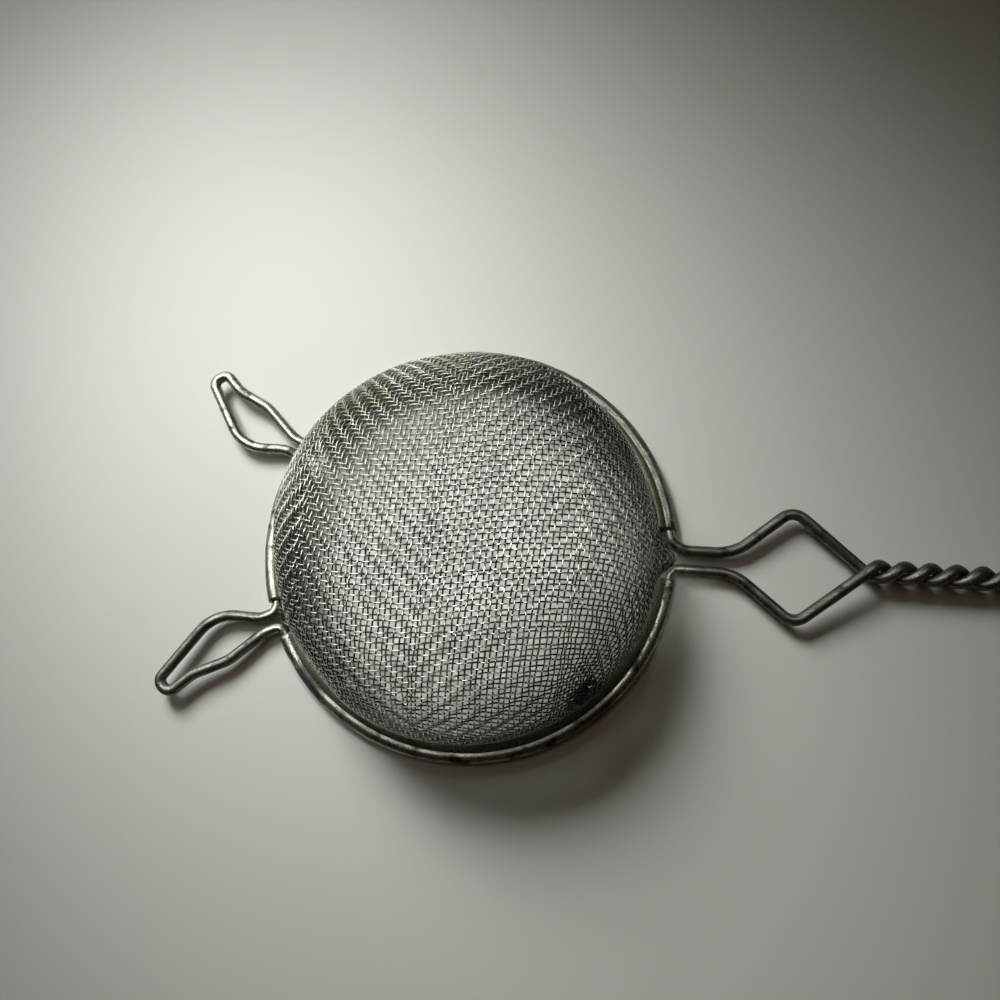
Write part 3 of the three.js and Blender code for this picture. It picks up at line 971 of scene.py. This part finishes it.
@dataclass
class RimBinding:
    """Tinplate strip folded round the ring and the edge of the cloth, in three lengths."""

    wire: FrameWire
    leg_height: float = 6.0
    crease: float = 115.0  # degrees round the bead from its outer side
    crease_bend: float = 0.5
    crease_points: int = 2  # of the bead, which the bend of the crease takes up
    foot_rise: float = 1.8
    foot_bend: float = 1.0
    tip: float = 0.12  # by which the strip's cut edges are rounded
    setback: float = 0.5
    cloth_radius: float = 56.0
    pinch: float = 0.5  # from the middle of the cloth to each leg
    dent: float = 0.07  # of the hand-closed fold
    flange_dent: float = 1.6  # of the free edge, over that of the fold
    flange_from: float = 0.7  # share of the leg's height at which the free edge starts
    waver_seeds: Pair = (1.7, 4.1)  # of the fold and the free edge
    swells: tuple[tuple[int, float], ...] = ((11, 0.4), (23, 0.3), (41, 0.2), (67, 0.1))  # waves to a turn
    step: float = math.radians(1)
    bead_step: float = math.radians(12)

    def middle_line(self) -> list[complex]:
        """Lay out the strip's middle line, radius as the real part and height as the imaginary part.

        Returns:
            Points from the tip of the flange, over the bead and under, to the tip of the inner leg.
        """
        wire = self.wire
        centre = complex(wire.ring_radius, wire.bead_radius)
        half = wire.strip / 2
        middle = wire.bead_radius - half
        crease = math.radians(self.crease)
        out, inside = (self.cloth_radius + side * (self.pinch + half) for side in (1, -1))
        start = centre + middle * cmath.exp(1j * crease)
        bead = bend_points(start, centre, -(crease + math.pi / 2), self.bead_step)
        upper = rounded_route(
            [
                Corner(complex(out, self.leg_height)),
                Corner(bead[0], self.crease_bend),
                Corner(bead[self.crease_points]),
            ]
        )
        lower = rounded_route(
            [
                Corner(bead[-1]),
                Corner(complex(inside + self.foot_rise, half), self.foot_bend),
                Corner(complex(inside, half + self.foot_rise), self.foot_bend),
                Corner(complex(inside, self.leg_height)),
            ]
        )
        return [*upper[:-1], *bead[self.crease_points :], *lower[1:]]

    def outline(self) -> np.ndarray:
        """Give the middle line its thickness.

        Returns:
            The closed outline of the section, radius and height to a row.
        """
        line = np.array(self.middle_line())
        steps = np.diff(line)
        normals = 1j * steps / np.abs(steps)
        before, after = np.insert(normals, 0, normals[0]), np.append(normals, normals[-1])
        mitre = (before + after) / (1 + (before * after.conjugate()).real)
        half = mitre * self.wire.strip / 2
        outer, inner = line + half, line - half
        first, last = line[0] - unit(steps[0]) * self.tip, line[-1] + unit(steps[-1]) * self.tip
        loop = np.concatenate([outer, [last], inner[::-1], [first]])
        return np.stack([loop.real, loop.imag], axis=1)

    def waver(self, angles: np.ndarray, seed: float) -> np.ndarray:
        """Small uneven swell along the rim, between -1 and 1."""
        waves = enumerate(self.swells, 1)
        return sum(size * np.sin(count * angles + seed * k) for k, (count, size) in waves)

    def length(self, name: str, first: float, last: float, finish: bpy.types.Material) -> bpy.types.Object:
        """Sweep one length of the strip.

        Args:
            name: the piece's name.
            first: angle at which it starts, in radians.
            last: angle at which it ends, in radians.
            finish: its material.

        Returns:
            The mesh object.
        """
        setback = self.setback / self.wire.ring_radius
        first, last = first + setback, last - setback
        angles = np.linspace(first, last, math.ceil((last - first) / self.step) + 1)
        outline = self.outline()
        count, rings = len(outline), len(angles)
        flange = smoothstep(outline[:, 1] / self.leg_height, self.flange_from, 1)[None]
        fold, free = (self.waver(angles, seed)[:, None] for seed in self.waver_seeds)
        radius = outline[None, :, 0] + self.dent * fold
        radius = radius + self.flange_dent * self.dent * free * flange
        level = np.tile(outline[:, 1], (rings, 1))
        spokes = [radius * np.cos(angles)[:, None], radius * np.sin(angles)[:, None], level]
        points = np.stack(spokes, axis=2).reshape(-1, 3)
        faces = [
            (a + k, a + count + k, a + count + (k + 1) % count, a + (k + 1) % count)
            for a in range(0, (rings - 1) * count, count)
            for k in range(count)
        ]
        faces += [tuple(range(count)), tuple(range(rings * count - 1, (rings - 1) * count - 1, -1))]
        made = mesh_object(name, points + self.wire.origin, [], faces)
        around = np.repeat(angles * self.wire.ring_radius, count)
        section = np.tile(outline, (rings, 1))
        store(made, Trait.PLACE, np.column_stack([around, section]) * MM)
        made.data.materials.append(finish)
        made.data.shade_smooth()
        return made

    def build(self) -> None:
        """Make and dress the three lengths."""
        at = self.wire.stops()
        turn = 2 * math.pi
        finish = BINDING_FINISH.material()
        spans = {
            "rim_binding_back": (at["back_handle"], at["back_ear_near"]),
            "rim_binding_between_ears": (at["back_ear_far"], turn + at["front_ear_far"]),
            "rim_binding_front": (turn + at["front_ear_near"], turn + at["front_handle"]),
        }
        for node, (first, last) in spans.items():
            made = self.length(node.replace("rim_binding", "folded_binding"), first, last, finish)
            dress(made, Slot.BINDING, [node])


@dataclass(frozen=True)
class Dent:
    """A place where the dome is pushed in, in millimetres from the middle of its base."""

    at: Triple
    reach: float
    depth: float


@dataclass(frozen=True)
class Flare:
    """A gap in the binding where the loose edge of the cloth has spread outward over the frame wire."""

    degrees: float  # from the handle
    reach: float  # degrees to each side
    depth: float

    def share(self, points: np.ndarray) -> np.ndarray:
        """Tell how far points lie in the gap.

        Args:
            points: places from the ring's centre.

        Returns:
            A number to a point, from 0 to 1.
        """
        turn = np.degrees(np.arctan2(points[..., 1], points[..., 0])) - self.degrees
        turn = (turn + 180) % 360 - 180
        return np.exp(-((turn / self.reach) ** 2))


@dataclass
class ClothDome:
    """Wire cloth in herringbone twill, pressed into a dome. Wires keep their spacing along each other."""

    wire: FrameWire
    radius: float = 56.0
    height: float = 39.0
    fullness: float = 2.5
    base: float = 5.5
    foot: float = 2.2
    strand: float = 0.48
    wires_each_side: int = 53
    spare: int = 13
    warp_turn: float = 8.0
    weave_angle: float = 78.0
    handle_sweep: Pair = (36.0, 2.7)  # degrees by which weft turns at the rim, and how late
    ear_sweep: Pair = (32.0, 1.0)
    weave_gap: float = 0.02
    twill_float: int = 2  # wires that a cloth wire passes over, and then under
    twill_stripe: int = 26  # warp wires from one turn of the herringbone to the next
    twill_turn: int = -2  # warp wire of one turn, counted from the crown
    pinch: float = 0.45  # by which a turn draws its neighbours in
    pinch_reach: float = 4.0  # wires
    rounds: int = 60
    sides: int = 6
    steps: int = 3
    cad_wires: int = 25
    unevenness: float = 0.1  # of the spacing of neighbouring wires
    drift: float = 0.22  # of a wire to and fro along its run
    drift_waves: int = 3
    drift_run: Pair = (8, 30)  # crossings to a wave
    shortest: int = 4  # crossings of the shortest wire that is kept
    profile_points: int = 400
    grain_shift: float = 97.0  # millimetres from wire to wire in the finish's noise
    seed: int = 7
    dents: tuple[Dent, ...] = (
        Dent((38.0, -36.0, 18.0), 8.0, 2.2),
        Dent((40.0, 26.0, 25.0), 9.0, 1.0),
        Dent((-53.0, -17.0, 16.0), 20.0, 1.8),
        Dent((-38.0, -40.0, 14.0), 10.0, 1.4),
        Dent((53.0, 11.0, 16.0), 18.0, 1.2),
        Dent((18.0, 50.0, 16.0), 13.0, -1.0),
    )
    wall: float = 9.0  # height above the base over which the binding steadies the cloth against dents
    flares: tuple[Flare, ...] = (
        Flare(0.2, 4.2, 5.5),
        Flare(154.0, 3.2, 2.5),
        Flare(-155.0, 3.2, 3.0),
    )
    flare_height: float = 10.0
    flare_foot: float = 4.7  # foot of the cloth where it spreads over the frame wire
    residue_at: Triple = (37.5, -40.0, 12.0)  # from the middle of the base
    residue_reach: Pair = (2.0, 7.0)  # within which it fills all meshes, and some of them
    residue_film: float = 0.25

    @property
    def lift(self) -> np.ndarray:
        """The middle of the base in the part's frame."""
        return self.wire.origin + np.array([0, 0, self.base])

    def onto_dome(self, points: np.ndarray) -> np.ndarray:
        """Bring points to the dome, or below its base to an upright wall.

        Args:
            points: places from the middle of the base.

        Returns:
            The places on the dome.
        """
        radius = plan_radius(points)
        level = points[..., 2]
        parts = radius / self.radius, np.maximum(level, 0) / self.height
        power = sum(part**self.fullness for part in parts)
        above = power ** (-1 / self.fullness)
        flat = np.where(level > 0, above, self.radius / radius)
        scale = np.stack([flat, flat, np.where(level > 0, above, 1.0)], axis=-1)
        return points * scale

    def outward(self, points: np.ndarray) -> np.ndarray:
        """Find which way the dome faces.

        Args:
            points: places on the dome, from the middle of its base.

        Returns:
            A unit vector square to the dome for each.
        """
        radius = plan_radius(points)
        across = radius ** (self.fullness - 2) / self.radius**self.fullness
        up = np.maximum(points[..., 2], 0) ** (self.fullness - 1) / self.height**self.fullness
        normal = np.stack([points[..., 0] * across, points[..., 1] * across, up], axis=-1)
        return normal / np.linalg.norm(normal, axis=-1, keepdims=True)

    @property
    def pitch(self) -> float:
        """Work out the spacing of the wires from the dome's profile.

        Returns:
            The distance between neighbouring wires along the one that they cross.
        """
        angle = np.linspace(0, math.pi / 2, self.profile_points)
        power = 2 / self.fullness
        across, up = np.sin(angle) ** power, np.cos(angle).clip(0) ** power
        profile = np.stack([self.radius * across, self.height * up], 1)
        return np.linalg.norm(np.diff(profile, axis=0), axis=1).sum() / (self.wires_each_side + 0.5)

    def settled(self, guess: np.ndarray, neighbours: list[np.ndarray]) -> np.ndarray:
        """Place crossings on the dome, one pitch from each neighbour that is already placed.

        Args:
            guess: where the crossings start from.
            neighbours: one or two sets of placed crossings.

        Returns:
            The crossings.
        """
        pitch = self.pitch
        points = self.onto_dome(guess)
        for _ in range(self.rounds):
            pull = np.zeros_like(points)
            for neighbour in neighbours:
                away = points - neighbour
                pull += away * (pitch / np.linalg.norm(away, axis=-1, keepdims=True) - 1) / len(neighbours)
            points = self.onto_dome(points + pull)
        return points

    def weave(self) -> np.ndarray:
        """Find every crossing of the cloth.

        Returns:
            A grid of points by warp and weft number, with the crown in its middle.
        """
        reach = self.wires_each_side + self.spare
        net = np.zeros((2 * reach + 1, 2 * reach + 1, 3))
        net[reach, reach] = (0, 0, self.height)
        warp = math.radians(self.warp_turn)
        rows = [(1, 0, warp), (-1, 0, warp + math.pi)]
        rows += [(0, step, angle + math.radians(self.weave_angle)) for step, _, angle in rows]
        starts = np.array([[math.cos(angle), math.sin(angle), 0] for *_, angle in rows]) * self.pitch
        last = np.tile(net[reach, reach], (len(rows), 1))
        sweeps = [self.handle_sweep, self.ear_sweep, (0.0, 1.0), (0.0, 1.0)]
        shares = np.minimum(np.arange(reach + 1) / self.wires_each_side, 1)
        swept = np.array([-math.radians(degrees) * shares**late for degrees, late in sweeps])
        for k in range(1, reach + 1):
            turn = (swept[:, k] - swept[:, k - 1])[:, None]
            starts = starts * np.cos(turn) + np.cross(self.outward(last), starts) * np.sin(turn)
            placed = self.settled(last + starts, [last])
            for (di, dj, _), point in zip(rows, placed):
                net[reach + di * k, reach + dj * k] = point
            starts, last = placed - last, placed
        signs = np.array([(1, 1), (1, -1), (-1, 1), (-1, -1)])
        for diagonal in range(2, 2 * reach + 1):
            near = np.arange(max(1, diagonal - reach), min(reach, diagonal - 1) + 1)
            i = np.concatenate([s * near for s, _ in signs])
            j = np.concatenate([s * (diagonal - near) for _, s in signs])
            before_i, before_j = i - np.sign(i), j - np.sign(j)
            left, below = net[reach + before_i, reach + j], net[reach + i, reach + before_j]
            guess = left + below - net[reach + before_i, reach + before_j]
            net[reach + i, reach + j] = self.settled(guess, [left, below])
        return net

    def warp_over(self, count: int) -> np.ndarray:
        """Lay out the herringbone: each row starts one wire on, and the next stripe runs the other way.

        Args:
            count: wires each way in the grid.

        Returns:
            By warp and weft number, 1 where the warp passes over and -1 where it passes under.
        """
        warp, weft = np.mgrid[:count, :count]
        stripe = self.twill_stripe
        step = np.abs((warp - count // 2 - self.twill_turn + stripe) % (2 * stripe) - stripe)
        return np.where((weft - step) % (2 * self.twill_float) < self.twill_float, -1.0, 1.0)

    def worn(self, net: np.ndarray) -> np.ndarray:
        """Shift the wires unevenly, as on used cloth, and press in the dents.

        Args:
            net: the even crossings.

        Returns:
            The crossings as they lie now.
        """
        random = np.random.default_rng(self.seed)
        moved = net.copy()
        count = len(net)
        steps = np.arange(count)
        for axis in (0, 1):
            along = np.gradient(net, axis=axis)
            shift = random.normal(0, self.unevenness, count)[:, None] * np.ones(count)
            for _ in range(self.drift_waves):
                wave = random.uniform(*self.drift_run, count)[:, None]
                phase = random.uniform(0, 2 * math.pi, count)[:, None]
                swing = np.sin(2 * math.pi * steps[None] / wave + phase)
                shift = shift + self.drift / self.drift_waves * swing
            if axis == 0:
                off = (steps - count // 2 - self.twill_turn + self.twill_stripe / 2) % self.twill_stripe
                off = off - self.twill_stripe / 2
                near = np.exp(-(((np.abs(off) - 1) / self.pinch_reach) ** 2))
                shift = shift - self.pinch * (np.sign(off) * near)[:, None]
            shift = shift if axis == 0 else shift.T
            moved += along / self.pitch * shift[..., None]
        moved = self.onto_dome(moved)
        normal = self.outward(moved)
        free = smoothstep(moved[..., 2], 0, self.wall)
        for dent in self.dents:
            away = np.linalg.norm(moved - np.array(dent.at), axis=-1) / dent.reach
            moved = moved - normal * (dent.depth * free * np.exp(-(away**2)))[..., None]
        low = 1 - smoothstep(moved[..., 2], self.flare_foot - self.base, self.flare_height)
        for flare in self.flares:
            spread = flare.depth * low * flare.share(moved)
            moved = moved + normal * np.array([1, 1, 0]) * spread[..., None]
        return moved

    def strands(
        self, name: str, wires: Sequence[np.ndarray], sides: Sequence[np.ndarray]
    ) -> bpy.types.Object:
        """Lay out wires as lines of crossings.

        Args:
            name: the object's name.
            wires: the crossings of each wire, from the middle of the base.
            sides: for each crossing, 1 over and -1 under.

        Returns:
            An object of points and edges with the wires' traits.
        """
        points = np.concatenate(wires)
        starts = np.cumsum([0, *(len(w) for w in wires)])
        edges = [(k, k + 1) for a, b in zip(starts, starts[1:]) for k in range(a, b - 1)]
        runs = [np.arange(len(w)) * self.pitch + self.grain_shift * n for n, w in enumerate(wires)]
        made = mesh_object(name, points + self.lift, edges, [])
        store(made, Trait.ALONG, np.concatenate(runs) * MM)
        store(made, Trait.OVER, np.concatenate(sides))
        store(made, Trait.OUTWARD, self.outward(points))
        return made

    def cut(self, run: np.ndarray, over: np.ndarray) -> tuple[np.ndarray, np.ndarray] | None:
        """Cut a wire off level at the foot of the cloth.

        Args:
            run: the wire's crossings.
            over: its side at each.

        Returns:
            The crossings and sides that are left, or None where the wire lies below the foot.
        """
        lift = np.max([flare.share(run) for flare in self.flares], axis=0)
        foot = self.foot + (self.flare_foot - self.foot) * lift - self.base
        above = np.flatnonzero(run[:, 2] > foot)
        if len(above) < self.shortest:
            return None
        middle = above[len(above) // 2]
        gaps = np.flatnonzero(np.diff(above) > 1)
        runs = np.split(above, gaps + 1)
        kept = next(r for r in runs if middle in r)
        return run[kept], over[kept]

    def residue(self, net: np.ndarray) -> None:
        """Fill the meshes round one place with a film of dried residue, a piece of its own.

        Args:
            net: the crossings as they lie.
        """
        count = len(net)
        random = np.random.default_rng(self.seed)
        away = np.linalg.norm((net[:-1, :-1] + net[1:, 1:]) / 2 - np.array(self.residue_at), axis=-1)
        i, j = np.nonzero(away < random.uniform(*self.residue_reach, away.shape))
        first = i * count + j
        loops = np.stack([first, first + count, first + count + 1, first + 1], axis=1)
        used, faces = np.unique(loops, return_inverse=True)
        points = net.reshape(-1, 3)[used] + self.lift
        made = mesh_object("dried_residue", points, [], faces.reshape(-1, 4).tolist())
        made.modifiers.new("film", "SOLIDIFY").thickness = self.residue_film * MM
        made.data.materials.append(ResidueFinish().material())
        made.data.shade_smooth()
        dress(made)

    def build(self, sweep: WireSweep) -> None:
        """Weave the cloth and dress it, in three pieces each way, and add the residue.

        Args:
            sweep: the tree that makes round wires.
        """
        net = self.worn(self.weave())
        over = self.warp_over(len(net))
        finish = WovenFinish().material(self.wire.centre)
        names = {
            Run.WARP: ("ear_side", "middle", "handle_side"),
            Run.WEFT: ("front", "middle", "back"),
        }
        for run, parts in names.items():
            grid, sides = (net, over) if run is Run.WARP else (net.swapaxes(0, 1), -over.T)
            cut = [c for c in map(self.cut, grid, sides) if c is not None]
            nodes = [f"cloth_{run.value}_{n + 1:02d}" for n in range(self.cad_wires)]
            shares = (share_out(items, len(parts)) for items in (cut, nodes))
            for part, wires, solids in zip(parts, *shares):
                made = self.strands(f"woven_{run.value}_{part}", *zip(*wires))
                sweep.sweep(
                    made,
                    wire_diameter=self.strand * MM,
                    weave_height=(self.strand + self.weave_gap) / 2 * MM,
                    sides=self.sides,
                    steps=self.steps,
                    finish=finish,
                )
                dress(made, Slot.CLOTH, solids)
        self.residue(net)


@dataclass(frozen=True)
class Lamp:
    """A soft lamp that faces a point on the table."""

    name: str
    at: Triple  # metres
    size: Pair
    watts: float
    colour: str
    spread: float = 180.0  # degrees, less where a grid narrows the beam
    aim: Pair = (0.0, 0.0)  # millimetres on the table from the ring's centre
    in_metal: bool = True  # whether it is mirrored in the metal
    on_table: bool = True  # whether it lights matt surfaces
    shape: LampShape = LampShape.PANEL

    def build(self, centre: Vector) -> None:
        """Add the lamp to the scene.

        Args:
            centre: the ring's centre on the table, in metres.
        """
        data = bpy.data.lights.new(self.name, "AREA")
        data.shape = self.shape.value
        data.size, data.size_y = self.size
        data.energy = self.watts
        data.color = linear(self.colour)[:3]
        data.spread = math.radians(self.spread)
        made = bpy.data.objects.new(self.name, data)
        made.visible_camera = False
        made.visible_glossy = self.in_metal
        made.visible_diffuse = self.on_table
        made.location = self.at
        target = centre + Vector((*self.aim, 0)) * MM
        made.rotation_euler = (target - Vector(self.at)).to_track_quat("-Z", "Y").to_euler()
        bpy.context.scene.collection.objects.link(made)


@dataclass
class Studio:
    """Pale table, soft window-like light from the upper left, and the camera of the photograph."""

    table: str = "#e3e4df"
    table_roughness: float = 0.55
    table_size: float = 4.0  # metres
    air: str = "#c9a06c"
    air_strength: float = 0.02
    backdrop: str = "#8b8a84"  # what the camera sees past the table
    fade: Pair = (0.3, 0.62)  # metres from the ring in which the table fades into the backdrop
    camera_at: Triple = (-10.7, -33.44, 224.33)  # millimetres
    camera_turn: Triple = (12.654, 5.168, 4.55)  # degrees about X, Y and Z
    camera_near: float = 0.005  # metres
    focal: float = 27.04  # millimetres
    lamps: tuple[Lamp, ...] = (
        Lamp(
            name="key",
            at=(-0.245, 0.29, 0.29),
            size=(0.19, 0.19),
            watts=0.285,
            colour="#f6faf6",
            spread=55.0,
            aim=(-18.0, -18.0),
            in_metal=False,
        ),
        Lamp("window", (-0.43, 0.39, 0.34), (0.9, 0.5), 3.5, "#f6faf6", on_table=False),
        Lamp("skylight", (-0.55, 0.4, 1.0), (0.7, 0.7), 10.0, "#f8faf4", aim=(-506.5, 400.0), on_table=False),
        Lamp(
            name="skylight by the handle",
            at=(0.25, 0.5, 1.0),
            size=(0.4, 0.4),
            watts=2.2,
            colour="#f8faf4",
            aim=(293.5, 500.0),
            on_table=False,
        ),
        Lamp("ceiling", (-0.2, 0.1, 1.0), (0.4, 0.4), 0.18, "#ffd494", in_metal=False),
        Lamp(
            name="snoot over the dome",
            at=(-0.16, 0.08, 1.2),
            size=(0.1, 0.1),
            watts=0.029,
            colour="#fbf9f2",
            spread=1.0,
            aim=(-6.0, -2.0),
            in_metal=False,
            shape=LampShape.ROUND,
        ),
        Lamp(
            name="snoot over the handle side",
            at=(-0.12, 0.06, 1.2),
            size=(0.03, 0.06),
            watts=0.0018,
            colour="#fbf9f2",
            spread=2.0,
            aim=(38.0, 2.0),
            in_metal=False,
            shape=LampShape.ROUND,
        ),
    )

    def build(self, centre: Vector) -> None:
        """Make the table, the light and the camera.

        Args:
            centre: the ring's centre on the table, in metres.
        """
        scene = bpy.context.scene
        scene.view_settings.view_transform = "Standard"
        world = bpy.data.worlds.new("air")
        scene.world = world
        world.use_nodes = True
        tree = world.node_tree
        tree.nodes.clear()
        glow = {"Color": linear(self.air), "Strength": self.air_strength}
        air = add_node(tree, "ShaderNodeBackground", glow)
        far = add_node(tree, "ShaderNodeBackground", {"Color": linear(self.backdrop)})
        seen = add_node(tree, "ShaderNodeLightPath").outputs["Is Camera Ray"]
        both = add_node(tree, "ShaderNodeMixShader", {0: seen, 1: air, 2: far})
        add_node(tree, "ShaderNodeOutputWorld", {"Surface": both})
        for lamp in self.lamps:
            lamp.build(centre)
        self._table(centre)
        data = bpy.data.cameras.new("camera")
        data.lens = self.focal
        data.clip_start = self.camera_near
        made = bpy.data.objects.new("camera", data)
        made.location = Vector(self.camera_at) * MM
        made.rotation_euler = [math.radians(turn) for turn in self.camera_turn]
        scene.collection.objects.link(made)
        scene.camera = made

    def _table(self, centre: Vector) -> None:
        """Lay the table under the part. Far off, for the camera alone, it fades into the backdrop.

        Args:
            centre: the ring's centre on the table, in metres.
        """
        half = self.table_size / 2 / MM
        corners = np.array([(-half, -half, 0), (half, -half, 0), (half, half, 0), (-half, half, 0)])
        made = mesh_object("table", corners, [], [(0, 1, 2, 3)])
        # painted board gives an even pale ground with soft shadows and no clear mirror image
        finish, tree = blank_material("matt painted board")
        paint = {"Base Color": linear(self.table), "Roughness": self.table_roughness}
        board = add_node(tree, "ShaderNodeBsdfPrincipled", paint)
        where = add_node(tree, "ShaderNodeTexCoord").outputs["Object"]
        away = add_node(tree, "ShaderNodeVectorMath", {0: where, 1: centre}, operation="DISTANCE")
        seen = add_node(tree, "ShaderNodeLightPath").outputs["Is Camera Ray"]
        span = {0: away.outputs["Value"], 1: self.fade[0], 2: self.fade[1], 4: seen}
        share = add_node(tree, "ShaderNodeMapRange", span, interpolation_type="SMOOTHSTEP")
        far = add_node(tree, "ShaderNodeEmission", {"Color": linear(self.backdrop)})
        both = add_node(tree, "ShaderNodeMixShader", {0: share, 1: board, 2: far})
        add_node(tree, "ShaderNodeOutputMaterial", {"Surface": both})
        made.data.materials.append(finish)


def main() -> None:
    """Build the strainer around its frame and set it on the table."""
    logging.basicConfig(level=logging.INFO, format="%(name)s: %(message)s")
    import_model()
    sweep = WireSweep()
    wire = FrameWire()
    wire.build(sweep)
    RimBinding(wire).build()
    ClothDome(wire).build(sweep)
    Studio().build(wire.centre)


if __name__ == "__main__":
    main()
